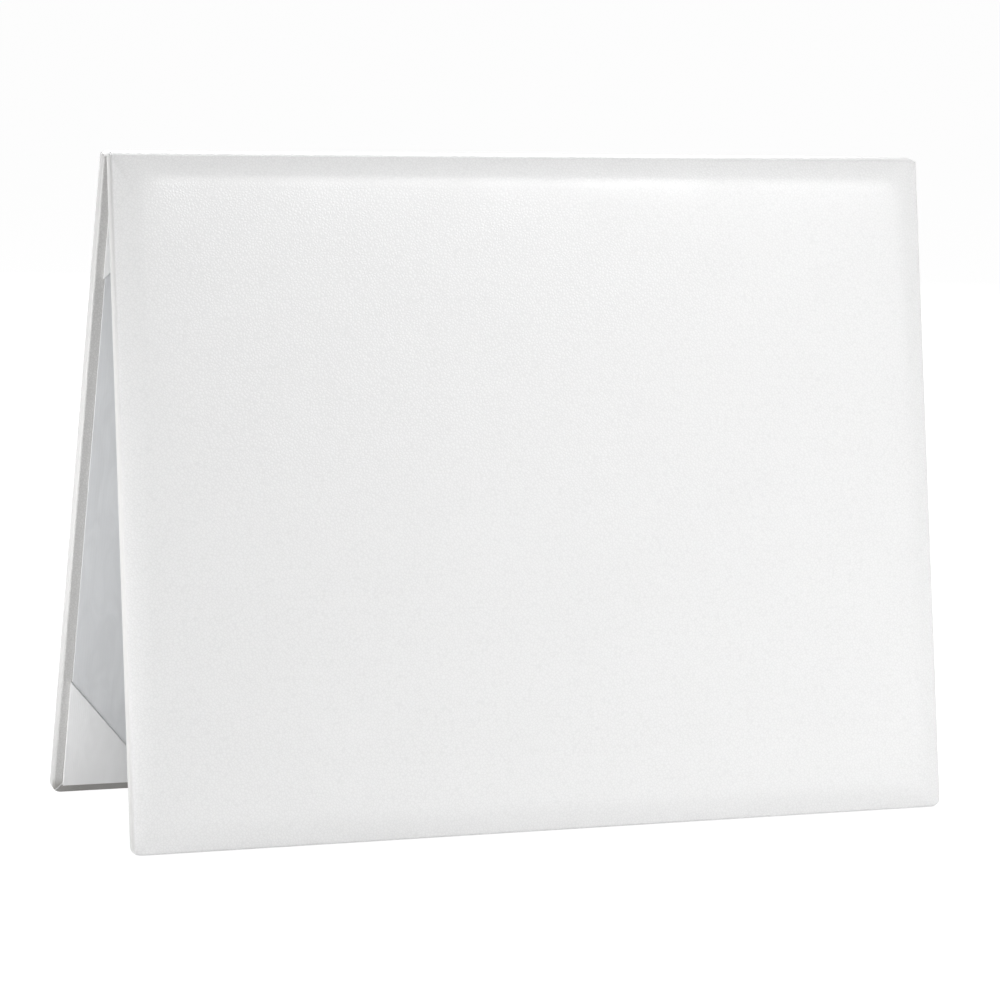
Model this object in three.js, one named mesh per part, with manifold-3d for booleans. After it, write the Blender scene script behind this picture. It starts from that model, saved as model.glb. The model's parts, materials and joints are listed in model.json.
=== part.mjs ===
// A padded, tent-style diploma cover: two boards hang from one fold and stand as an A on their free edges.
// Each cover is drawn flat, on a plan: X runs along the fold, Y is 0 at the fold line and falls towards the
// free edge, and the height is 0 on the inner side and grows towards the padded outer side. The flat cover
// is then stood up under its fold. Millimetres, +Z up, the floor at Z = 0, the front cover towards -Y.
import * as THREE from 'three';
import { mergeVertices } from 'three/addons/utils/BufferGeometryUtils.js';
import Module from 'manifold-3d';

const wasm = await Module();
wasm.setup();

// Driving dimensions
const coverWidth = 298;              // along the fold
const coverHeight = 229;             // from the fold line to the free edge
const openingAngle = 22;             // degrees between the two covers as the tent stands
const cornerRadius = 3;              // of the covers' free corners
const leatherThickness = 0.6;        // the leatherette
const leatherFoldRadius = 0.5;       // where the leatherette turns in round the board
const edgeRound = 1;                 // where it rolls over the board's outer edge
const boardThickness = 3;            // the greyboard
const foamThickness = 2.5;           // the padding
const foamInset = 8.5;               // from the cover's edge to the padding's shoulder
const foamBevel = 3.2;               // how far the padding's edge slopes
const shoulderRound = 2;             // where the leatherette bends onto the padding's flat top
const turnInWidth = 15;              // leatherette folded in over the board's inner side
const frontLinerThickness = 0.3;     // a paper sheet
const backLinerThickness = 0.6;      // a paper-covered card, which carries the document
const linerInset = 3.8;              // from the cover's edge to the liner's edge
const pocketThickness = 0.3;         // the ribbon over each corner of the document
const pocketRise = 38;               // its leg that stands up the cover's side
const pocketReach = 33;              // its leg that runs along the cover's fold or free edge
const spineArch = 1.2;               // how far the fold's strip bows out
const spineLiningThickness = 0.3;
const spineLiningMargin = 1.1;       // how much narrower the lining is at each of its sides
const foldGap = 0.6;                 // from a fold line to where the rigid leatherette starts
const boardSetback = 1.2;            // from a fold line to the board's top edge
const glueGap = 0.3;                 // between glued layers
const closedClearance = 0.3;         // between the covers' linings when the cover is shut
const arcSteps = 3;                  // fineness of the rounded corners
const profileSteps = 3;              // fineness of the rounded shoulders
const archSteps = 5;                 // fineness of the spine's arch

// Worked out from them. Heights are counted from the inner side of a cover's turned-in leatherette.
const boardLow = leatherThickness + glueGap;
const boardHigh = boardLow + boardThickness;
const edgeThickness = boardHigh + glueGap + leatherThickness;
const foamLow = boardHigh + glueGap;
const foamHigh = foamLow + foamThickness;
const crownHeight = foamHigh + glueGap + leatherThickness;
const frontLinerFace = -glueGap - frontLinerThickness;
const backLinerFace = -glueGap - backLinerThickness;
const pocketFace = backLinerFace - glueGap - pocketThickness;
const closedGap = closedClearance - frontLinerFace - pocketFace;
const foldHeight = edgeThickness - leatherThickness / 2;
const foldSpan = 2 * foldHeight + closedGap;
const lean = THREE.MathUtils.degToRad(openingAngle / 2);
const reach = coverWidth + coverHeight;

const leatherette = new THREE.MeshStandardMaterial({ color: 0xe8e9ea, roughness: 0.55, metalness: 0 });
const greyboard = new THREE.MeshStandardMaterial({ color: 0x8e8a82, roughness: 0.9, metalness: 0 });
const foam = new THREE.MeshStandardMaterial({ color: 0xd9d9d4, roughness: 0.95, metalness: 0 });
const linerPaper = new THREE.MeshStandardMaterial({ color: 0xdfe2e6, roughness: 0.6, metalness: 0 });
const ribbon = new THREE.MeshStandardMaterial({ color: 0xf2f2f1, roughness: 0.5, metalness: 0 });

// The cover's outline on the plan, moved inwards by inset on the sides and the free edge, with its top
// edge at top. The corners by the fold are as round as the leatherette's edge.
function coverOutline(inset, top) {
  const side = coverWidth / 2 - inset;
  const bottom = inset - coverHeight;
  const upper = edgeRound;
  const lower = cornerRadius;
  const outline = new THREE.Shape();
  outline.absarc(side - lower, bottom + lower, lower, -Math.PI / 2, 0);
  outline.absarc(side - upper, top - upper, upper, 0, Math.PI / 2);
  outline.absarc(upper - side, top - upper, upper, Math.PI / 2, Math.PI);
  outline.absarc(lower - side, bottom + lower, lower, Math.PI, Math.PI * 1.5);
  return outline;
}

function rectangle(left, right, bottom, top) {
  const outline = new THREE.Shape();
  outline.moveTo(left, bottom);
  outline.lineTo(right, bottom);
  outline.lineTo(right, top);
  outline.lineTo(left, top);
  return outline;
}

// A flat sheet of the given outline between two heights
function plate(outline, low, high) {
  const options = { depth: high - low, bevelEnabled: false, curveSegments: 2 * arcSteps };
  return new THREE.ExtrudeGeometry(outline, options).translate(0, 0, low);
}

// A closed solid through one outline of the cover after another. Each point of the profile gives an inset
// and a height. The outermost outline passes the fold by as much as the leatherette's edge is rounded, so
// that the skin has its full thickness where it is cut off by the fold.
function loft(profile) {
  const rings = profile.map(({ x: inset, y: height }) => {
    const points = coverOutline(inset, edgeRound - foldGap - inset).getPoints(arcSteps);
    return points.map((point) => new THREE.Vector3(point.x, point.y, height));
  });
  const count = rings[0].length;
  const positions = rings.flat().flatMap((point) => point.toArray());
  const index = [];
  const last = (rings.length - 1) * count;
  for (let level = 0; level < rings.length - 1; level += 1) {
    for (let i = 0; i < count; i += 1) {
      const low = level * count + i;
      const lowNext = level * count + ((i + 1) % count);
      index.push(low, lowNext, lowNext + count, low, lowNext + count, low + count);
    }
  }
  for (let i = 1; i < count - 1; i += 1) {
    index.push(0, i + 1, i, last, last + i, last + i + 1);
  }
  const geometry = new THREE.BufferGeometry();
  geometry.setAttribute('position', new THREE.Float32BufferAttribute(positions, 3));
  geometry.setIndex(index);
  return geometry;
}

// The outer side of the leatherette, or a surface at the given depth inside it: up the edge, over its
// rounded rim, straight up the slope to the padding's shoulder, and over onto the flat middle.
function skinProfile(depth) {
  const rim = new THREE.Vector2(edgeRound + depth, edgeThickness - depth);
  const shoulder = new THREE.Vector2(foamInset + depth, crownHeight - depth);
  const bend = shoulder.clone().lerp(rim, shoulderRound / (foamInset - edgeRound));
  const path = new THREE.Path();
  if (depth > 0) {
    path.moveTo(depth, depth);
  } else {
    path.moveTo(leatherFoldRadius, 0);
    path.quadraticCurveTo(0, 0, 0, leatherFoldRadius);
  }
  path.lineTo(depth, edgeThickness - edgeRound);
  path.quadraticCurveTo(depth, rim.y, rim.x, rim.y);
  path.lineTo(bend.x, bend.y);
  path.quadraticCurveTo(shoulder.x, shoulder.y, shoulder.x + shoulderRound, shoulder.y);
  return path.getPoints(profileSteps);
}

function toSolid(source) {
  const geometry = source.clone();
  geometry.deleteAttribute('normal');
  geometry.deleteAttribute('uv');
  const merged = mergeVertices(geometry);
  return new wasm.Manifold(new wasm.Mesh({
    numProp: 3,
    vertProperties: new Float32Array(merged.attributes.position.array),
    triVerts: new Uint32Array(merged.index.array),
  }));
}

function toGeometry(solid) {
  const mesh = solid.getMesh();
  const geometry = new THREE.BufferGeometry();
  geometry.setAttribute('position', new THREE.BufferAttribute(mesh.vertProperties, 3));
  geometry.setIndex(new THREE.BufferAttribute(mesh.triVerts, 1));
  return geometry.toNonIndexed();
}

// Stands a flat cover piece up under its fold line, with the padded side towards -Y
function stand(geometry) {
  const stood = geometry.translate(0, 0, -foldHeight).rotateX(Math.PI / 2);
  stood.computeVertexNormals();
  return stood;
}

function named(name, geometry, material) {
  const mesh = new THREE.Mesh(geometry, material);
  mesh.name = name;
  return mesh;
}

// The leatherette of one cover: the skin over the padding, round the edges and turned in on the inner
// side, with the board's hollow inside it. It is open in the middle of the inner side and along the fold.
function wrapGeometry() {
  const outside = toSolid(loft(skinProfile(0)));
  const hollow = toSolid(loft(skinProfile(leatherThickness)));
  const window = toSolid(plate(
    rectangle(turnInWidth - coverWidth / 2, coverWidth / 2 - turnInWidth, turnInWidth - coverHeight, reach),
    -edgeThickness,
    boardLow,
  ));
  const pastFold = toSolid(plate(rectangle(-reach, reach, -foldGap, reach), -edgeThickness, 2 * crownHeight));
  const underSkin = toSolid(plate(
    rectangle(-reach, reach, -boardSetback, reach),
    -edgeThickness,
    edgeThickness - leatherThickness,
  ));
  return toGeometry(outside.subtract(hollow).subtract(window).subtract(pastFold).subtract(underSkin));
}

function boardGeometry() {
  const inset = leatherThickness + glueGap;
  return plate(coverOutline(inset, -boardSetback), boardLow, boardHigh);
}

// The padding, with a bevelled edge all round
function paddingGeometry() {
  const foot = foamInset - foamBevel / 2;
  const profile = [
    new THREE.Vector2(foot, foamLow),
    new THREE.Vector2(foot, foamLow + foamThickness / 3),
    new THREE.Vector2(foot + foamBevel, foamHigh),
  ];
  return loft(profile);
}

// A liner lies on the turned-in leatherette and is pressed down onto the board inside its frame
function linerGeometry(face) {
  const side = coverWidth / 2 - linerInset;
  const sheet = toSolid(plate(
    rectangle(-side, side, linerInset - coverHeight, -linerInset),
    face,
    -glueGap,
  ));
  const inner = turnInWidth + glueGap;
  const pressed = toSolid(plate(
    rectangle(inner - coverWidth / 2, coverWidth / 2 - inner, inner - coverHeight, -linerInset),
    face,
    boardLow - glueGap,
  ));
  return toGeometry(sheet.add(pressed));
}

// A triangle of ribbon over one corner of the back liner, folded down round the liner's two edges.
// across and along are 1 or -1: the side of the cover, and its top or its free edge.
function pocketGeometry(across, along) {
  const wall = glueGap + pocketThickness;
  const corner = new THREE.Vector2(
    across * (coverWidth / 2 - linerInset),
    along > 0 ? -linerInset : linerInset - coverHeight,
  );
  const at = (awayX, awayY) => new THREE.Vector2(corner.x - across * awayX, corner.y - along * awayY);
  const triangle = new THREE.Shape([at(-wall, -wall), at(pocketReach, -wall), at(-wall, pocketRise)]);
  const room = new THREE.Shape([
    at(-glueGap, -glueGap), at(reach, -glueGap), at(reach, reach), at(-glueGap, reach),
  ]);
  const outside = toSolid(plate(triangle, pocketFace, -glueGap));
  const inside = toSolid(plate(room, pocketFace + pocketThickness, edgeThickness));
  return toGeometry(outside.subtract(inside));
}

// A strip that arches over the gap between the two covers, drawn in the fold's section
const spineHalf = foldSpan / 2 - foldGap;
const archRadius = (spineHalf ** 2 + spineArch ** 2) / (2 * spineArch);
const sectionToSpine = new THREE.Matrix4().makeBasis(
  new THREE.Vector3(0, 1, 0),
  new THREE.Vector3(0, 0, 1),
  new THREE.Vector3(1, 0, 0),
);

function archedStrip(inner, outer, half, length) {
  const sweep = Math.asin(half / archRadius);
  const centre = spineArch - archRadius;
  const section = new THREE.Shape();
  section.absarc(0, centre, outer, Math.PI / 2 - sweep, Math.PI / 2 + sweep, false);
  section.absarc(0, centre, inner, Math.PI / 2 + sweep, Math.PI / 2 - sweep, true);
  const options = { depth: length, bevelEnabled: false, curveSegments: archSteps };
  const strip = new THREE.ExtrudeGeometry(section, options).translate(0, 0, -length / 2);
  return strip.applyMatrix4(sectionToSpine);
}

const skinUnder = archRadius - leatherThickness / 2;
const liningOver = skinUnder - glueGap;
const spine = new THREE.Group();
spine.add(
  named(
    'spine_wrap',
    archedStrip(skinUnder, skinUnder + leatherThickness, spineHalf, coverWidth),
    leatherette,
  ),
  named(
    'spine_lining',
    archedStrip(
      liningOver - spineLiningThickness,
      liningOver,
      spineHalf - spineLiningMargin,
      coverWidth - 2 * linerInset,
    ),
    linerPaper,
  ),
);

// One cover, standing under its fold line, which is its own origin
function cover(name, linerFace) {
  const group = new THREE.Group();
  group.add(
    named(`${name}_wrap`, stand(wrapGeometry()), leatherette),
    named(`${name}_padding`, stand(paddingGeometry()), foam),
    named(`${name}_board`, stand(boardGeometry()), greyboard),
    named(`${name}_liner`, stand(linerGeometry(linerFace)), linerPaper),
  );
  group.position.y = -foldSpan / 2;
  group.rotation.x = -lean;
  return group;
}

const frontCover = cover('front', frontLinerFace);
const backCover = cover('back', backLinerFace);
for (const [edge, along] of [['top', 1], ['bottom', -1]]) {
  // The back cover is turned round below, so its own left is the tent's right
  for (const [side, across] of [['left', 1], ['right', -1]]) {
    backCover.add(named(`corner_pocket_${edge}_${side}`, stand(pocketGeometry(across, along)), ribbon));
  }
}
const turnedRound = new THREE.Group();
turnedRound.rotation.z = Math.PI;
turnedRound.add(backCover);

// The tent rests on the folded edge of the leatherette, the lowest point of either leaning cover
const drops = skinProfile(0).map((point) => (
  (foldHeight - point.y) * Math.sin(lean) + (coverHeight - point.x) * Math.cos(lean)
));
const diplomaCover = new THREE.Group();
diplomaCover.add(frontCover, spine, turnedRound);
diplomaCover.position.z = Math.max(...drops);

export default diplomaCover;
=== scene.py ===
import json
import math

import bmesh
import bpy
from mathutils import Matrix, Vector


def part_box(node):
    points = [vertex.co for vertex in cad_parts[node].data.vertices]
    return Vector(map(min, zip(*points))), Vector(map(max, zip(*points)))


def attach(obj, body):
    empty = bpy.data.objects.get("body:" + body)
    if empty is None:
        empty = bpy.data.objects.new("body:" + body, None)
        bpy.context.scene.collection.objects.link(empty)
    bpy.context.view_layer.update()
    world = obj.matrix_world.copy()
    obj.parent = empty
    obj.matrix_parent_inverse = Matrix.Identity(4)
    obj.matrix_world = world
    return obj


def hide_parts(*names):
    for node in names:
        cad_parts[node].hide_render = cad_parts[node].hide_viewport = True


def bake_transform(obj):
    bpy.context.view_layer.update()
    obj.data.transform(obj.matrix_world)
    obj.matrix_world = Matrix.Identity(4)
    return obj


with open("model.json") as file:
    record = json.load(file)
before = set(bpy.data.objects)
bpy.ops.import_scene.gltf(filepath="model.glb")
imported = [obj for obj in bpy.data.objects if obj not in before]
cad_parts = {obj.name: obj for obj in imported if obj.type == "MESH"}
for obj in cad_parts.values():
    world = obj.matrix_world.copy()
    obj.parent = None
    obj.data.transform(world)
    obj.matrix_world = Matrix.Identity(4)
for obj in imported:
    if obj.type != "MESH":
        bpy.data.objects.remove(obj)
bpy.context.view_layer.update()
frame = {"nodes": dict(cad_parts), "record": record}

mm = 0.001

# where the frame puts things: the two folds, the lean of the covers and the cover's own size
behaviour = frame["record"]["behaviour"]
foldY = abs(behaviour["joints"][0]["pos_m"][1])
ridgeZ = behaviour["joints"][0]["pos_m"][2]
lean = math.radians(-behaviour["joints"][0]["range_deg"][0])
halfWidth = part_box("spine_wrap")[1].x

# how the covers are layered; heights are counted from the inner side of the turned-in leatherette
layers = {
    "coverHeight": 229 * mm,       # fold line to free edge
    "leather": 0.6 * mm,
    "edge": 4.8 * mm,              # a cover's whole thickness at its rim
    "foldHeight": 4.5 * mm,        # the fold line lies in the middle of the outer leatherette
    "linerInset": 3.8 * mm,
    "glueGap": 0.3 * mm,
}


# camera

cameraSettings = {
    "place": (-0.5315, -1.2555, 0.3235),
    "yaw": 22.8,          # degrees to the right of straight ahead
    "pitch": 9.05,        # degrees down
    "roll": 2.2,
    "focalPixels": 3980,
    "framePixels": 1000,
    "sensorWidth": 36,    # in mm, for a focal length in mm
    "nearest": 0.05,      # what is closer to the lens than this isn't drawn
}


def makeCamera():
    settings = cameraSettings
    bpy.ops.object.camera_add(location=settings["place"])
    camera = bpy.context.object
    camera.name = "photoCamera"
    yaw, pitch = math.radians(settings["yaw"]), math.radians(settings["pitch"])
    forward = Vector((
        math.sin(yaw) * math.cos(pitch),
        math.cos(yaw) * math.cos(pitch),
        -math.sin(pitch),
    ))
    camera.rotation_euler = forward.to_track_quat("-Z", "Y").to_euler()
    camera.rotation_euler.rotate_axis("Z", math.radians(settings["roll"]))
    camera.data.sensor_width = settings["sensorWidth"]
    camera.data.lens = settings["sensorWidth"] * settings["focalPixels"] / settings["framePixels"]
    camera.data.clip_start = settings["nearest"]
    bpy.context.scene.camera = camera


makeCamera()
print("camera set")


# materials

def newMaterial(name):
    material = bpy.data.materials.new(name)
    material.use_nodes = True
    nodes = material.node_tree.nodes
    shader = nodes["Principled BSDF"]
    return material, nodes, material.node_tree.links, shader


def addNode(nodes, kind, x, y, **values):
    node = nodes.new(kind)
    node.location = (x, y)
    for key, value in values.items():
        setattr(node, key, value)
    return node


def setInputs(node, values):
    for label, value in values.items():
        node.inputs[label].default_value = value


def newGroup(name, sizeName, size, outputs):
    # a group that takes a place and one size, and gives numbers that vary over the surface
    group = bpy.data.node_groups.new(name, "ShaderNodeTree")
    group.interface.new_socket("Place", in_out="INPUT", socket_type="NodeSocketVector")
    sizeSocket = group.interface.new_socket(sizeName, in_out="INPUT", socket_type="NodeSocketFloat")
    sizeSocket.default_value = size
    for label in outputs:
        group.interface.new_socket(label, in_out="OUTPUT", socket_type="NodeSocketFloat")
    start = addNode(group.nodes, "NodeGroupInput", -900, 0)
    end = addNode(group.nodes, "NodeGroupOutput", 700, 0)
    return group, group.nodes, group.links, start, end


pebbleShape = {
    "driftScale": 260,             # what keeps the pebbles from lying in rows
    "drift": 0.9 * mm,
    "domeTop": 0.42,               # where a pebble is highest, in cells from its crease
    "creaseWidth": 0.16,           # in cells too
    "mottleScale": 55,
}


def buildPebbleGrain():
    # embossed leather grain: rounded pebbles with fine creases between them, stretched here and there
    shape = pebbleShape
    group, nodes, links, start, end = newGroup(
        "pebbleGrain", "Pebbles per Metre", 700.0, ("Height", "Crease", "Mottle"))
    drift = addNode(nodes, "ShaderNodeTexNoise", -700, 200)
    setInputs(drift, {"Scale": shape["driftScale"], "Detail": 2})
    shift = addNode(nodes, "ShaderNodeVectorMath", -500, 200, operation="MULTIPLY_ADD")
    shift.inputs[1].default_value = (shape["drift"], shape["drift"], shape["drift"])
    pebbles = addNode(nodes, "ShaderNodeTexVoronoi", -300, 200, feature="DISTANCE_TO_EDGE")
    dome = addNode(nodes, "ShaderNodeMapRange", -80, 200, interpolation_type="SMOOTHERSTEP")
    dome.inputs["From Max"].default_value = shape["domeTop"]
    crease = addNode(nodes, "ShaderNodeMapRange", -80, -100, interpolation_type="SMOOTHSTEP")
    setInputs(crease, {"From Min": shape["creaseWidth"], "From Max": 0})
    mottle = addNode(nodes, "ShaderNodeTexNoise", 100, -400)
    setInputs(mottle, {"Scale": shape["mottleScale"], "Detail": 4})
    links.new(start.outputs["Place"], drift.inputs["Vector"])
    links.new(drift.outputs["Color"], shift.inputs[0])
    links.new(start.outputs["Place"], shift.inputs[2])
    links.new(shift.outputs["Vector"], pebbles.inputs["Vector"])
    links.new(start.outputs["Pebbles per Metre"], pebbles.inputs["Scale"])
    links.new(pebbles.outputs["Distance"], dome.inputs["Value"])
    links.new(pebbles.outputs["Distance"], crease.inputs["Value"])
    links.new(start.outputs["Place"], mottle.inputs["Vector"])
    links.new(dome.outputs["Result"], end.inputs["Height"])
    links.new(crease.outputs["Result"], end.inputs["Crease"])
    links.new(mottle.outputs["Fac"], end.inputs["Mottle"])
    return group


ribShape = {
    "wobbleScale": 90,             # slow bends of the ribs
    "wobble": 1.6,                 # in radians of a rib's wave
    "waterScale": 170,             # blotches of the watered shimmer
    "waterStretch": 0.22,          # upright scale against the other two: less makes longer blotches
    "waterSwirl": 1.4,
}


def buildWateredRibs():
    # woven ribs with a watered shimmer, as on moire ribbon and moire paper; the ribs repeat along X
    shape = ribShape
    group, nodes, links, start, end = newGroup(
        "wateredRibs", "Ribs per Metre", 900.0, ("Height", "Shimmer"))
    turns = addNode(nodes, "ShaderNodeMath", -500, 300, operation="MULTIPLY")
    turns.inputs[1].default_value = 2 * math.pi
    split = addNode(nodes, "ShaderNodeSeparateXYZ", -700, 100)
    phase = addNode(nodes, "ShaderNodeMath", -300, 200, operation="MULTIPLY")
    wobble = addNode(nodes, "ShaderNodeTexNoise", -500, -100)
    setInputs(wobble, {"Scale": shape["wobbleScale"], "Detail": 2})
    bent = addNode(nodes, "ShaderNodeMath", -100, 200, operation="MULTIPLY_ADD")
    bent.inputs[1].default_value = shape["wobble"]
    wave = addNode(nodes, "ShaderNodeMath", 80, 200, operation="SINE")
    squeeze = addNode(nodes, "ShaderNodeMapping", -500, -400)
    squeeze.inputs["Scale"].default_value = (1.0, 1.0, shape["waterStretch"])
    water = addNode(nodes, "ShaderNodeTexNoise", -300, -400)
    setInputs(water, {"Scale": shape["waterScale"], "Detail": 3, "Distortion": shape["waterSwirl"]})
    height = addNode(nodes, "ShaderNodeMath", 300, 200, operation="MULTIPLY_ADD")
    height.inputs[1].default_value = 0.5  # from -1...1 to 0...1
    height.inputs[2].default_value = 0.5
    links.new(start.outputs["Place"], split.inputs["Vector"])
    links.new(start.outputs["Ribs per Metre"], turns.inputs[0])
    links.new(split.outputs["X"], phase.inputs[0])
    links.new(turns.outputs["Value"], phase.inputs[1])
    links.new(start.outputs["Place"], wobble.inputs["Vector"])
    links.new(wobble.outputs["Fac"], bent.inputs[0])
    links.new(phase.outputs["Value"], bent.inputs[2])
    links.new(bent.outputs["Value"], wave.inputs[0])
    links.new(wave.outputs["Value"], height.inputs[0])
    links.new(start.outputs["Place"], squeeze.inputs["Vector"])
    links.new(squeeze.outputs["Vector"], water.inputs["Vector"])
    links.new(height.outputs["Value"], end.inputs["Height"])
    links.new(water.outputs["Fac"], end.inputs["Shimmer"])
    return group


speckSize = (0.12, 0.3)            # where a speck starts to fade and where it is gone, in cells


def buildFibreSpeckle():
    # the specks and felted fibres of recycled board and of foam
    group, nodes, links, start, end = newGroup(
        "fibreSpeckle", "Grain per Metre", 900.0, ("Height", "Speck"))
    felt = addNode(nodes, "ShaderNodeTexNoise", -300, 200)
    setInputs(felt, {"Detail": 6, "Roughness": 0.65})
    specks = addNode(nodes, "ShaderNodeTexVoronoi", -300, -150)
    dots = addNode(nodes, "ShaderNodeMapRange", 0, -150)
    setInputs(dots, {"From Min": speckSize[0], "From Max": speckSize[1]})
    for texture in (felt, specks):
        links.new(start.outputs["Place"], texture.inputs["Vector"])
        links.new(start.outputs["Grain per Metre"], texture.inputs["Scale"])
    links.new(specks.outputs["Distance"], dots.inputs["Value"])
    links.new(felt.outputs["Fac"], end.inputs["Height"])
    links.new(dots.outputs["Result"], end.inputs["Speck"])
    return group


def addFromSide(nodes, links, split):
    # how far in from the nearer side of the cover
    across = addNode(nodes, "ShaderNodeMath", -500, 100, operation="ABSOLUTE")
    fromSide = addNode(nodes, "ShaderNodeMath", -300, 100, operation="SUBTRACT")
    fromSide.inputs[0].default_value = halfWidth
    links.new(split.outputs["X"], across.inputs[0])
    links.new(across.outputs["Value"], fromSide.inputs[1])
    return fromSide.outputs["Value"]


footShadeSpan = (2 * mm, 6 * mm)        # above the floor: the painted shade is darkest below the first and gone above the second


def buildMitreHighlightAndFootShade():
    # the diagonal line at a free corner, where the turned-in side meets the turned-in free edge, for a
    # painted highlight, and the mask for the painted shade along the foot that the cover stands on
    group, nodes, links, start, end = newGroup("mitreHighlightAndFootShade", "Line Width", 0.5 * mm, ("Line", "FootShade"))
    split = addNode(nodes, "ShaderNodeSeparateXYZ", -700, 0)
    fromEdge = addNode(nodes, "ShaderNodeMath", -500, -100, operation="DIVIDE")
    fromEdge.inputs[1].default_value = math.cos(lean)
    apart = addNode(nodes, "ShaderNodeMath", -100, 0, operation="SUBTRACT")
    distance = addNode(nodes, "ShaderNodeMath", 80, 0, operation="ABSOLUTE")
    line = addNode(nodes, "ShaderNodeMapRange", 260, 0, interpolation_type="SMOOTHSTEP")
    setInputs(line, {"To Min": 1, "To Max": 0})
    footShade = addNode(nodes, "ShaderNodeMapRange", 260, -300, interpolation_type="SMOOTHSTEP")
    setInputs(footShade, {"From Min": footShadeSpan[1], "From Max": footShadeSpan[0]})
    links.new(start.outputs["Place"], split.inputs["Vector"])
    links.new(split.outputs["Z"], fromEdge.inputs[0])
    links.new(addFromSide(nodes, links, split), apart.inputs[0])
    links.new(fromEdge.outputs["Value"], apart.inputs[1])
    links.new(apart.outputs["Value"], distance.inputs[0])
    links.new(distance.outputs["Value"], line.inputs["Value"])
    links.new(start.outputs["Line Width"], line.inputs["From Max"])
    links.new(split.outputs["Z"], footShade.inputs["Value"])
    links.new(line.outputs["Result"], end.inputs["Line"])
    links.new(footShade.outputs["Result"], end.inputs["FootShade"])
    return group


def buildRimShadeBand():
    # 1 along the two sides of a cover, where the leatherette goes round the board: where the rims get
    # painted shade
    group, nodes, links, start, end = newGroup("rimShadeBand", "Band Width", 1 * mm, ("Band",))
    split = addNode(nodes, "ShaderNodeSeparateXYZ", -700, 0)
    band = addNode(nodes, "ShaderNodeMapRange", -100, 0, interpolation_type="SMOOTHSTEP")
    setInputs(band, {"To Min": 1, "To Max": 0})
    links.new(start.outputs["Place"], split.inputs["Vector"])
    links.new(addFromSide(nodes, links, split), band.inputs["Value"])
    links.new(start.outputs["Band Width"], band.inputs["From Max"])
    links.new(band.outputs["Result"], end.inputs["Band"])
    return group


pebbleGrain = buildPebbleGrain()
rimShadeBand = buildRimShadeBand()
mitreHighlightAndFootShade = buildMitreHighlightAndFootShade()
wateredRibs = buildWateredRibs()
fibreSpeckle = buildFibreSpeckle()


def placeGroup(nodes, links, group, sizeName, size, y=0):
    place = addNode(nodes, "ShaderNodeTexCoord", -1100, y)
    used = addNode(nodes, "ShaderNodeGroup", -900, y, node_tree=group)
    used.inputs[sizeName].default_value = size
    links.new(place.outputs["Object"], used.inputs["Place"])
    return used


def blendColours(nodes, links, factor, low, high, span=(0.0, 1.0)):
    ramp = addNode(nodes, "ShaderNodeValToRGB", -500, 300)
    for stop, position, colour in zip(ramp.color_ramp.elements, span, (low, high)):
        stop.position = position
        stop.color = (*colour, 1)
    links.new(factor, ramp.inputs["Fac"])
    return ramp.outputs["Color"]


def rangeTo(nodes, links, value, ends, span=(0.0, 1.0)):
    ranged = addNode(nodes, "ShaderNodeMapRange", -500, 0)
    setInputs(ranged, {"From Min": span[0], "From Max": span[1], "To Min": ends[0], "To Max": ends[1]})
    links.new(value, ranged.inputs["Value"])
    return ranged.outputs["Result"]


def addBump(nodes, links, height, distance, strength, x=-500, under=None):
    bump = addNode(nodes, "ShaderNodeBump", x, -250)
    setInputs(bump, {"Strength": strength, "Distance": distance})
    links.new(height, bump.inputs["Height"])
    if under is not None:
        links.new(under, bump.inputs["Normal"])
    return bump.outputs["Normal"]


def tintOver(nodes, links, shader, share, colour, name, x):
    # lays a colour over what the shader's base colour has so far
    tinted = addNode(nodes, "ShaderNodeMix", x, 300, data_type="RGBA", name=name)
    tinted.inputs["B"].default_value = (*colour, 1)
    base = shader.inputs["Base Color"]
    links.new(share, tinted.inputs["Factor"])
    links.new(base.links[0].from_socket, tinted.inputs["A"])
    links.new(tinted.outputs["Result"], base)


leatherLook = {
    "colour": (0.86, 0.86, 0.86),
    # painted shade: the grain's creases are toned darker than the leatherette's white
    "creaseShadeColour": (0.805, 0.805, 0.805),
    # painted shade: the rounded rims along the covers' sides are toned darker
    "rimShadeColour": (0.65, 0.647, 0.64),
    "rimShadeWidth": 0.9 * mm,
    # painted shade: the turned-in leatherette is the same white, toned down for the shade between the
    # covers
    "turnInShadeColour": (0.635, 0.63, 0.62),
    "turnInCreaseShade": (0.57, 0.565, 0.555),
    # painted shade: darker still along the foot, by the floor
    "footShadeColour": (0.38, 0.37, 0.355),
    # painted highlight: the mitre line keeps the leatherette's lit white over the turn-in's painted
    # shade
    "seamHighlightColour": (0.86, 0.86, 0.86),
    "seamWidth": 0.55 * mm,
    "seamHeight": 0.25 * mm,
    "roughness": (0.31, 0.37),
    "mottleSpan": (0.3, 0.7),      # the mottle's values at the two ends of the roughness
    "pebblesPerMetre": 960,
    "grainDepth": 0.036 * mm,
    "grainStrength": 0.8,
    "softDepth": 0.35 * mm,        # slow unevenness of the padding under the leatherette
    "softStrength": 0.25,
    "ior": 1.5,
}


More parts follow.
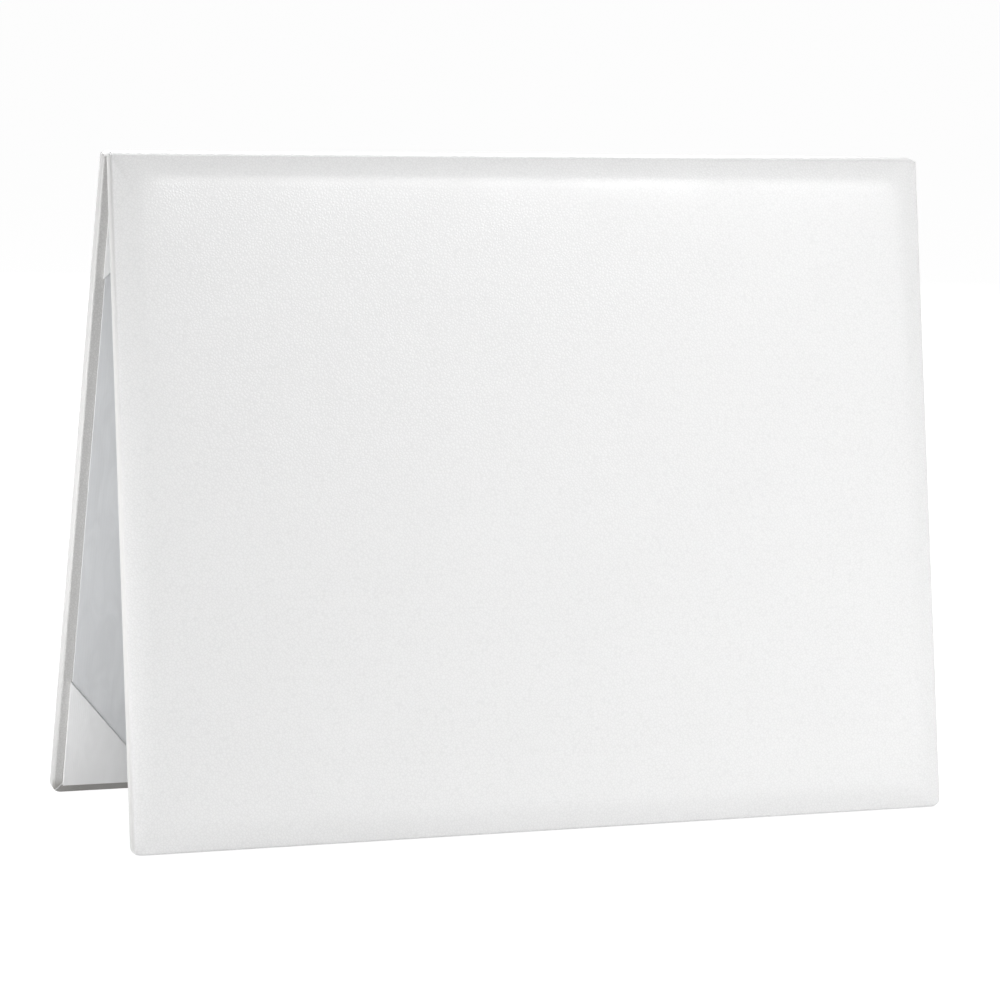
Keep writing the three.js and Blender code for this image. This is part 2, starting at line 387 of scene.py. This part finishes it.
def leatherette(name, colour, creaseShadeColour):
    look = leatherLook
    material, nodes, links, shader = newMaterial(name)
    grain = placeGroup(nodes, links, pebbleGrain, "Pebbles per Metre", look["pebblesPerMetre"])
    # painted shade in the creases of the grain
    tone = blendColours(nodes, links, grain.outputs["Crease"], colour, creaseShadeColour)
    links.new(tone, shader.inputs["Base Color"])
    # painted shade along the side rims
    rim = placeGroup(nodes, links, rimShadeBand, "Band Width", look["rimShadeWidth"], y=400)
    tintOver(nodes, links, shader, rim.outputs["Band"], look["rimShadeColour"], "rim", -250)
    rough = rangeTo(nodes, links, grain.outputs["Mottle"], look["roughness"], look["mottleSpan"])
    links.new(rough, shader.inputs["Roughness"])
    soft = addBump(nodes, links, grain.outputs["Mottle"], look["softDepth"], look["softStrength"])
    fine = addBump(nodes, links, grain.outputs["Height"], look["grainDepth"], look["grainStrength"],
                   x=-300, under=soft)
    links.new(fine, shader.inputs["Normal"])
    shader.inputs["IOR"].default_value = look["ior"]
    return material


def shadedTurnedIn(name):
    # the same leatherette with painted shade: darker all over for the shade inside the cover, darker
    # still along the foot, and with a seam along each mitre drawn as a painted highlight
    look = leatherLook
    material = leatherette(name, look["turnInShadeColour"], look["turnInCreaseShade"])
    nodes, links = material.node_tree.nodes, material.node_tree.links
    shader = nodes["Principled BSDF"]
    seam = placeGroup(nodes, links, mitreHighlightAndFootShade, "Line Width", look["seamWidth"], y=-400)
    # painted shade along the foot
    tintOver(nodes, links, shader, seam.outputs["FootShade"], look["footShadeColour"], "footShade", -150)
    # painted highlight along the mitre
    tintOver(nodes, links, shader, seam.outputs["Line"], look["seamHighlightColour"], "seam", -50)
    under = shader.inputs["Normal"].links[0].from_socket
    raised = addBump(nodes, links, seam.outputs["Line"], look["seamHeight"], 1.0, x=-100, under=under)
    links.new(raised, shader.inputs["Normal"])
    return material


def patterned(name, look, group, sizeName, toneFrom, roughFrom):
    # a finish that takes its tone, its roughness and its relief from one group
    material, nodes, links, shader = newMaterial(name)
    pattern = placeGroup(nodes, links, group, sizeName, look["perMetre"])
    tone = blendColours(nodes, links, pattern.outputs[toneFrom],
                        look["low"], look["high"], look["toneSpan"])
    links.new(tone, shader.inputs["Base Color"])
    rough = rangeTo(nodes, links, pattern.outputs[roughFrom], look["roughness"], look["roughSpan"])
    links.new(rough, shader.inputs["Roughness"])
    normal = addBump(nodes, links, pattern.outputs["Height"], look["depth"], look["relief"])
    links.new(normal, shader.inputs["Normal"])
    return material


linerLook = {
    # painted shade: the paper is toned darker than its near-white for the shade deep between the
    # covers; the cool tint is its own
    "low": (0.67, 0.68, 0.692),
    "high": (0.715, 0.725, 0.738),
    "toneSpan": (0.35, 0.65),
    "roughness": (0.62, 0.46),
    "roughSpan": (0.35, 0.65),
    "perMetre": 1100,              # ribs
    "depth": 0.01 * mm,
    "relief": 0.7,
}
ribbonLook = {
    "low": (0.91, 0.91, 0.91),
    "high": (0.95, 0.95, 0.95),
    "toneSpan": (0.35, 0.65),
    "roughness": (0.6, 0.42),
    "roughSpan": (0.0, 1.0),
    "perMetre": 1450,              # ribs
    "depth": 0.018 * mm,
    "relief": 0.8,
    "sheen": 0.15,
    "gloss": 0.9,
}
boardLook = {
    "low": (0.30, 0.285, 0.265),
    "high": (0.46, 0.44, 0.41),
    "toneSpan": (0.0, 1.0),
    "roughness": (0.95, 0.85),
    "roughSpan": (0.0, 1.0),
    "perMetre": 1500,              # grains
    "depth": 0.06 * mm,
    "relief": 0.8,
}
foamLook = {
    "low": (0.62, 0.62, 0.59),
    "high": (0.78, 0.78, 0.75),
    "toneSpan": (0.0, 1.0),
    "roughness": (0.98, 0.88),
    "roughSpan": (0.0, 1.0),
    "perMetre": 1100,              # cells
    "depth": 0.25 * mm,
    "relief": 0.8,
}


def ribbedRibbon(name):
    material = patterned(name, ribbonLook, wateredRibs, "Ribs per Metre", "Shimmer", "Height")
    shader = material.node_tree.nodes["Principled BSDF"]
    setInputs(shader, {"Sheen Weight": ribbonLook["sheen"], "Specular IOR Level": ribbonLook["gloss"]})
    return material


whiteLeather = leatherette("whiteLeatherette", leatherLook["colour"], leatherLook["creaseShadeColour"])
shadedInnerLeather = shadedTurnedIn("shadedTurnedInLeatherette")
linerPaper = patterned("wateredLinerPaper", linerLook, wateredRibs, "Ribs per Metre",
                       "Shimmer", "Shimmer")
cornerRibbon = ribbedRibbon("ribbedCornerRibbon")
greyBoard = patterned("greyboard", boardLook, fibreSpeckle, "Grain per Metre", "Speck", "Height")
padFoam = patterned("paddingFoam", foamLook, fibreSpeckle, "Grain per Metre", "Speck", "Height")
print("materials built")


# modelling helpers

def editMode(element="FACE"):
    bpy.ops.object.mode_set(mode="EDIT")
    selectMode(element)
    bpy.ops.mesh.select_all(action="DESELECT")


def selectMode(element):
    bpy.ops.mesh.select_mode(type=element)


def objectMode():
    bpy.ops.object.mode_set(mode="OBJECT")


def selectWhere(kind, test):
    # selects the verts, edges or faces of the mesh being edited that pass the test
    mesh = bpy.context.object.data
    shape = bmesh.from_edit_mesh(mesh)
    bpy.ops.mesh.select_all(action="DESELECT")
    for element in getattr(shape, kind):
        element.select_set(bool(test(element)))
    shape.select_flush_mode()
    bmesh.update_edit_mesh(mesh)


def near(value, target, reach=0.05 * mm):
    return abs(value - target) < reach


def bothEnds(edge, axis, target):
    return all(near(vert.co[axis], target) for vert in edge.verts)


def alongAxis(edge, axis):
    # an edge that keeps its place on the other two axes
    ends = [vert.co for vert in edge.verts]
    return all(near(ends[0][other], ends[1][other]) for other in range(3) if other != axis)


def startBlock(name, low, high):
    bpy.ops.object.select_all(action="DESELECT")
    low, high = Vector(low), Vector(high)
    bpy.ops.mesh.primitive_cube_add(size=1, location=(low + high) / 2, scale=high - low)
    piece = bpy.context.object
    piece.name = name
    bpy.ops.object.transform_apply(location=True, rotation=True, scale=True)
    return piece


def roundAllEdges(width):
    editMode("EDGE")
    bpy.ops.mesh.select_all(action="SELECT")
    bpy.ops.mesh.bevel(offset=width, segments=2, affect="EDGES")
    objectMode()


def applyModifier(piece, kind, name, **values):
    modifier = piece.modifiers.new(name, kind)
    for key, value in values.items():
        setattr(modifier, key, value)
    bpy.ops.object.modifier_apply(modifier=name)


def standing(side):
    # from the flat plan to the leaning place; side is -1 for the front cover, 1 for the back
    toFoldLine = Matrix.Translation((0, 0, -layers["foldHeight"]))
    hanging = Matrix.Rotation(math.pi / 2, 4, "X")
    leaning = Matrix.Rotation(-lean, 4, "X")
    place = Matrix.Translation((0, -foldY, ridgeZ)) @ leaning @ hanging @ toFoldLine
    return Matrix.Rotation(math.pi, 4, "Z") @ place if side > 0 else place


def standUp(piece, side):
    piece.matrix_world = standing(side)
    bpy.ops.object.transform_apply(location=True, rotation=True, scale=True)


def smooth():
    # bends sharper than this stay edges
    bpy.ops.object.shade_smooth_by_angle(angle=math.radians(35))


def paint(piece, *materials):
    piece.data.materials.clear()
    for material in materials:
        piece.data.materials.append(material)


# the leatherette of one cover and its half of the fold

wrapShape = {
    "cornerRadius": 3 * mm,        # free corners, at the rim
    "padCorner": 8 * mm,           # the padding's corners
    "padInset": 8.5 * mm,          # rim to the padding's shoulder
    "padRise": 2.5 * mm,
    "shoulderRound": 2.6 * mm,
    "rimRound": 1.2 * mm,
    "turnFold": 1.2 * mm,
    "turnIn": 15 * mm,
    "crown": [(6 * mm, 0.22 * mm), (9 * mm, 0.16 * mm), (14 * mm, 0.09 * mm), (22 * mm, 0.04 * mm)],
    "topSqueeze": 0.55,            # how much stays of the padding corners' points along the fold
    "foldRound": 0.6 * mm,
    "archFirst": 0.32,             # share of the arch before its first stop, past the fold's rounding
    "archSteps": 6,
    "ridgeRise": 0.75 * mm,        # top of the ridge above the fold lines
    "archFlat": 0.5 * mm,          # level strip beside the two halves' meeting line
    "blendBelow": 0.6 * mm,        # how far below and above the fold line the leatherette bends
    "blendAbove": 0.35 * mm,
}

slack = 1.01                       # lets a test of place take in what lies just on its limit


def archStops(place):
    # where the leatherette goes from the fold to the top of the ridge, on the plan, and how far it has
    # turned at each stop
    shape = wrapShape
    start = place @ Vector((0, 0, layers["edge"]))
    ridgeTop = ridgeZ + shape["ridgeRise"]
    run = abs(start.y) - shape["archFlat"]
    rise = ridgeTop - start.z
    radius = (run * run + rise * rise) / (2 * rise)
    whole = math.asin(run / radius)
    stops = []
    for step in range(shape["archSteps"]):
        share = step / (shape["archSteps"] - 1)
        sweep = whole * (1 - shape["archFirst"]) * (1 - share)
        away = shape["archFlat"] + radius * math.sin(sweep)
        stops.append((Vector((0, -away, ridgeTop - radius + radius * math.cos(sweep))), sweep))
    stops.append((Vector((0, 0, ridgeTop)), 0))
    upright = math.radians(90) - lean
    return [(place.inverted() @ point, upright - sweep) for point, sweep in stops]


def drawIn(size, inset, rise):
    # raises the selected face and draws its outline in by the same width on every side
    bpy.ops.mesh.extrude_region_move(TRANSFORM_OT_translate={"value": (0, 0, rise)})
    smaller = (size[0] - 2 * inset, size[1] - 2 * inset)
    bpy.ops.transform.resize(value=(smaller[0] / size[0], smaller[1] / size[1], 1),
                             center_override=(0, -layers["coverHeight"] / 2, 0))
    return smaller


def raisePadding():
    # the padded side: the padding's wide corners, the slope up to its shoulder, then a slow crown
    shape = wrapShape
    selectMode("EDGE")
    selectWhere("edges", lambda e: alongAxis(e, 2))
    bpy.ops.mesh.bevel(offset=shape["padCorner"], segments=8, affect="EDGES")
    selectMode("FACE")
    selectWhere("faces", lambda f: f.normal.z > 0.9)
    size = drawIn((2 * halfWidth, layers["coverHeight"]), shape["padInset"], shape["padRise"])
    for inset, rise in shape["crown"]:
        size = drawIn(size, inset, rise)


def tightenRimCorners():
    # the rim's own corners are small at the free edge and square by the fold
    shape = wrapShape
    height = layers["coverHeight"]
    corner = shape["padCorner"]
    tight = shape["cornerRadius"] / corner
    selectMode("VERT")
    for across in (-1, 1):
        def atSide(vert):
            return (vert.co.z < layers["edge"] * slack
                    and vert.co.x * across > halfWidth - corner * slack)

        selectWhere("verts", lambda v: atSide(v) and v.co.y < corner * slack - height)
        bpy.ops.transform.resize(value=(tight, tight, 1),
                                 center_override=(across * halfWidth, -height, 0))
        selectWhere("verts", lambda v: atSide(v) and v.co.y > -corner * slack)
        bpy.ops.transform.resize(value=(1, 0, 1), center_override=(0, 0, 0))
        selectWhere("verts", lambda v: atSide(v) and near(v.co.y, 0)
                    and not near(v.co.x, across * halfWidth))
        bpy.ops.transform.resize(value=(shape["topSqueeze"], 1, 1),
                                 center_override=(across * (halfWidth - corner), 0, 0))


def roundShoulder():
    shoulder = layers["edge"] + wrapShape["padRise"]
    selectMode("EDGE")
    selectWhere("edges", lambda e: bothEnds(e, 2, shoulder))
    bpy.ops.mesh.bevel(offset=wrapShape["shoulderRound"], segments=6, affect="EDGES")


def openInside():
    # the inner side: a frame of turned-in leatherette, open in the middle and along the fold
    turnIn = wrapShape["turnIn"]
    selectMode("FACE")
    selectWhere("faces", lambda f: f.normal.z < -0.9)
    drawIn((2 * halfWidth, layers["coverHeight"]), turnIn, 0)
    bpy.ops.mesh.delete(type="FACE")
    selectWhere("faces", lambda f: f.normal.y > 0.9 and near(f.calc_center_median().y, 0))
    bpy.ops.mesh.delete(type="FACE")
    selectWhere("faces", lambda f: f.normal.z < -0.9 and f.calc_center_median().y > -turnIn)
    bpy.ops.mesh.delete(type="FACE")
    selectMode("VERT")
    selectWhere("verts", lambda v: near(v.co.z, 0) and v.co.y > -turnIn * slack
                and abs(v.co.x) < halfWidth - turnIn / 2)
    bpy.ops.transform.resize(value=(1, 0, 1), center_override=(0, 0, 0))


def roundRims():
    # along the two sides and the free edge
    shape = wrapShape

    def onOutline(edge):
        middle = (edge.verts[0].co + edge.verts[1].co) / 2
        outside = (near(abs(middle.x), halfWidth, shape["cornerRadius"])
                   or near(middle.y, -layers["coverHeight"], shape["cornerRadius"]))
        return len(edge.link_faces) == 2 and not near(middle.y, 0) and outside

    selectMode("EDGE")
    selectWhere("edges", lambda e: onOutline(e) and bothEnds(e, 2, layers["edge"]))
    bpy.ops.mesh.bevel(offset=shape["rimRound"], segments=4, affect="EDGES")
    selectWhere("edges", lambda e: onOutline(e) and bothEnds(e, 2, 0))
    bpy.ops.mesh.bevel(offset=shape["turnFold"], segments=6, affect="EDGES")


def drawOverFold():
    # the rim's edge, with its rounded ends, is drawn along the arch to the middle of the ridge
    shape = wrapShape
    lowest = layers["edge"] - shape["rimRound"] * slack

    def atFold(edge, faces):
        return (len(edge.link_faces) == faces and bothEnds(edge, 1, 0)
                and min(vert.co.z for vert in edge.verts) > lowest)

    selectWhere("edges", lambda e: atFold(e, 1))
    was, turned = Vector((0, 0, layers["edge"])), 0
    for stop, turn in archStops(standing(-1)):
        bpy.ops.mesh.extrude_edges_move(TRANSFORM_OT_translate={"value": stop - was})
        bpy.ops.transform.rotate(value=turn - turned, orient_axis="X", center_override=stop)
        was, turned = stop, turn
    selectWhere("edges", lambda e: atFold(e, 2))
    bpy.ops.mesh.bevel(offset=shape["foldRound"], segments=5, affect="EDGES")


def finishTurnIn(piece):
    # the turned-in leatherette has the second material, the copy with painted shade
    def turnedInward(face):
        middle = face.calc_center_median()
        return face.normal.z < -0.2 and middle.z < wrapShape["turnFold"] and middle.y < 0

    editMode("FACE")
    selectWhere("faces", turnedInward)
    piece.active_material_index = 1
    bpy.ops.object.material_slot_assign()
    objectMode()


def makeWrap(name, side):
    piece = startBlock(name, (-halfWidth, -layers["coverHeight"], 0), (halfWidth, 0, layers["edge"]))
    editMode("EDGE")
    raisePadding()
    tightenRimCorners()
    roundShoulder()
    openInside()
    roundRims()
    drawOverFold()
    objectMode()
    applyModifier(piece, "SOLIDIFY", "leatherThickness", thickness=layers["leather"], offset=-1,
                  use_even_offset=True)
    paint(piece, whiteLeather, shadedInnerLeather)
    finishTurnIn(piece)
    standUp(piece, side)
    smooth()
    return piece


for coverName, side in (("front", -1), ("back", 1)):
    wrap = makeWrap(coverName + "_leatherette", side)
    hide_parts(coverName + "_wrap", "spine_wrap")
    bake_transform(wrap)
print("leatherette modelled")


# liners

linerShape = {
    "frontThickness": 0.3 * mm,
    "backThickness": 0.6 * mm,
    "edgeRound": 0.13 * mm,
}


def makeLiner(name, side, thickness):
    inset, gap = layers["linerInset"], layers["glueGap"]
    low = (inset - halfWidth, inset - layers["coverHeight"], -gap - thickness)
    high = (halfWidth - inset, -inset, -gap)
    piece = startBlock(name, low, high)
    roundAllEdges(linerShape["edgeRound"])
    standUp(piece, side)
    smooth()
    paint(piece, linerPaper)
    return piece


foldLining = {
    "halfWidth": 2.4 * mm,
    "thickness": 0.26 * mm,
    "drop": 0.02 * mm,             # below the fold lines
    "margin": 3.8 * mm,            # short of the cover's ends
    "edgeRound": 0.065 * mm,
}


def makeFoldLining():
    strip = foldLining
    top = ridgeZ - strip["drop"]
    reach = halfWidth - strip["margin"]
    piece = startBlock("fold_lining_strip", (-reach, -strip["halfWidth"], top - strip["thickness"]),
                       (reach, strip["halfWidth"], top))
    roundAllEdges(strip["edgeRound"])
    smooth()
    paint(piece, linerPaper)
    return piece


frontLiner = makeLiner("front_lining_sheet", -1, linerShape["frontThickness"])
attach(frontLiner, "front_cover")
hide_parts("front_liner")
backLiner = makeLiner("back_liner_card", 1, linerShape["backThickness"])
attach(backLiner, "back_cover")
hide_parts("back_liner")
foldStrip = makeFoldLining()
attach(foldStrip, "spine")
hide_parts("spine_lining")
print("liners modelled")


# ribbon corners

pocketShape = {
    "thickness": 0.24 * mm,
    "lift": 0.12 * mm,             # over the liner
    "rise": 38 * mm,               # leg up the cover's side
    "reach": 33 * mm,              # leg along the fold or the free edge
    "edgeRound": 0.08 * mm,
}


def makePocket(name, across, along):
    # a triangle over the liner's corner, folded down round its two edges; across and along are 1 or -1
    shape = pocketShape
    gap = layers["glueGap"]
    past = gap + shape["thickness"]
    face = -gap - linerShape["backThickness"] - shape["lift"]
    cornerX = across * (halfWidth - layers["linerInset"] + gap)
    cornerY = gap - layers["linerInset"]
    if along < 0:
        cornerY = -layers["coverHeight"] - cornerY
    size = Vector((shape["reach"] + past, shape["rise"] + past, 1))
    middle = (cornerX - across * size.x / 2, cornerY - along * size.y / 2, face)
    bpy.ops.object.select_all(action="DESELECT")
    bpy.ops.mesh.primitive_plane_add(size=1, location=middle)
    piece = bpy.context.object
    piece.name = name
    piece.scale = size
    bpy.ops.object.transform_apply(location=True, rotation=True, scale=True)
    editMode("VERT")
    selectWhere("verts", lambda v: not near(v.co.x, cornerX) and not near(v.co.y, cornerY))
    bpy.ops.mesh.delete(type="VERT")
    bpy.ops.mesh.select_all(action="SELECT")
    bpy.ops.mesh.edge_face_add()
    selectMode("EDGE")
    selectWhere("edges", lambda e: alongAxis(e, 0) or alongAxis(e, 1))
    bpy.ops.mesh.extrude_edges_move(TRANSFORM_OT_translate={"value": (0, 0, -face - gap)})
    bpy.ops.mesh.select_all(action="SELECT")
    bpy.ops.mesh.normals_make_consistent(inside=False)
    objectMode()
    applyModifier(piece, "SOLIDIFY", "ribbonThickness", thickness=shape["thickness"], offset=1,
                  use_even_offset=True)
    applyModifier(piece, "BEVEL", "ribbonEdges", width=shape["edgeRound"], segments=2,
                  limit_method="ANGLE")
    standUp(piece, 1)
    smooth()
    paint(piece, cornerRibbon)
    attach(piece, "back_cover")
    return piece


for edgeName, along in (("top", 1), ("bottom", -1)):
    for sideName, across in (("left", 1), ("right", -1)):
        pocket = makePocket("ribbon_corner_" + edgeName + "_" + sideName, across, along)
        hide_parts("corner_pocket_" + edgeName + "_" + sideName)
print("ribbon corners modelled")


# finishes of the pieces that stay as the frame has them

keptFinishes = {
    "front_board": greyBoard,
    "back_board": greyBoard,
    "front_padding": padFoam,
    "back_padding": padFoam,
}

for nodeName, material in keptFinishes.items():
    for materialSlot in frame["nodes"][nodeName].material_slots:
        materialSlot.material = material
print("kept pieces finished")


# floor, background and light

stageLook = {
    "floorSize": 30.0,
    "floorColour": (0.9, 0.9, 0.9),
    "floorRoughness": 0.9,
    "shadowShare": 0.18,           # how much of the floor's own shading the camera sees
    "floorGlow": 1.18,             # what the camera sees instead, where 1 is white
    "worldLight": 0.08,
}


def backgroundSwitch(nodes, links, x, y):
    # 1 where the camera or a reflection looks at it
    path = addNode(nodes, "ShaderNodeLightPath", x, y)
    either = addNode(nodes, "ShaderNodeMath", x + 200, y, operation="MAXIMUM")
    links.new(path.outputs["Is Camera Ray"], either.inputs[0])
    links.new(path.outputs["Is Glossy Ray"], either.inputs[1])
    return either.outputs["Value"]


def makeFloor():
    bpy.ops.object.select_all(action="DESELECT")
    bpy.ops.mesh.primitive_plane_add(size=stageLook["floorSize"], location=(0, 0, 0))
    floor = bpy.context.object
    floor.name = "floor"
    material, nodes, links, shader = newMaterial("paleFloor")
    setInputs(shader, {
        "Base Color": (*stageLook["floorColour"], 1),
        "Roughness": stageLook["floorRoughness"],
        "Specular IOR Level": 0,
    })
    glow = addNode(nodes, "ShaderNodeEmission", 0, -500)
    glow.inputs["Strength"].default_value = stageLook["floorGlow"]
    seen = backgroundSwitch(nodes, links, -600, -600)
    share = addNode(nodes, "ShaderNodeMath", -200, -600, operation="MULTIPLY")
    share.inputs[1].default_value = 1 - stageLook["shadowShare"]
    mix = addNode(nodes, "ShaderNodeMixShader", 400, 0)
    links.new(seen, share.inputs[0])
    links.new(share.outputs["Value"], mix.inputs["Fac"])
    links.new(shader.outputs["BSDF"], mix.inputs[1])
    links.new(glow.outputs["Emission"], mix.inputs[2])
    links.new(mix.outputs["Shader"], nodes["Material Output"].inputs["Surface"])
    paint(floor, material)


def makeWorld():
    world = bpy.data.worlds.new("studio")
    bpy.context.scene.world = world
    world.use_nodes = True
    nodes, links = world.node_tree.nodes, world.node_tree.links
    light = nodes["Background"]
    setInputs(light, {"Color": (1, 1, 1, 1), "Strength": stageLook["worldLight"]})
    white = addNode(nodes, "ShaderNodeBackground", 0, -200)
    white.inputs["Color"].default_value = (1, 1, 1, 1)
    mix = addNode(nodes, "ShaderNodeMixShader", 300, 0)
    links.new(backgroundSwitch(nodes, links, -600, 200), mix.inputs["Fac"])
    links.new(light.outputs["Background"], mix.inputs[1])
    links.new(white.outputs["Background"], mix.inputs[2])
    links.new(mix.outputs["Shader"], nodes["World Output"].inputs["Surface"])


# area lamps, all turned to the middle of the cover; sizes in metres, power in watts
lamps = {
    "keySoftbox": {"place": (0.5, -1.05, 0.85), "size": (0.4, 0.36), "power": 8.1},
    "rightSoftbox": {"place": (0.72, -1.0, 0.6), "size": (0.42, 0.36), "power": 1.4},
    "leftFill": {"place": (-0.84, -0.95, 0.18), "size": (0.6, 0.6), "power": 2.6},
    "lowStrip": {"place": (0.09, -0.3, 0.015), "size": (0.45, 0.02), "power": 0.16},
    "openingStrip": {"place": (-0.31, -0.015, 0.11), "size": (0.06, 0.2), "power": 0.27},
    "ridgeSoftbox": {"place": (0.1, 0.55, 1.3), "size": (0.8, 0.6), "power": 7},
    "backFill": {"place": (0.2, 1.6, 0.5), "size": (1.4, 0.8), "power": 14},
}


def makeLamps():
    for name, lamp in lamps.items():
        bpy.ops.object.light_add(type="AREA", location=lamp["place"])
        light = bpy.context.object
        light.name = name
        light.data.shape = "RECTANGLE"
        light.data.size, light.data.size_y = lamp["size"]
        light.data.energy = lamp["power"]
        aim = Vector((0, 0, ridgeZ / 2)) - light.location
        light.rotation_euler = aim.to_track_quat("-Z", "Y").to_euler()


makeFloor()
makeWorld()
makeLamps()
bpy.context.scene.view_settings.view_transform = "Standard"
print("stage lit")
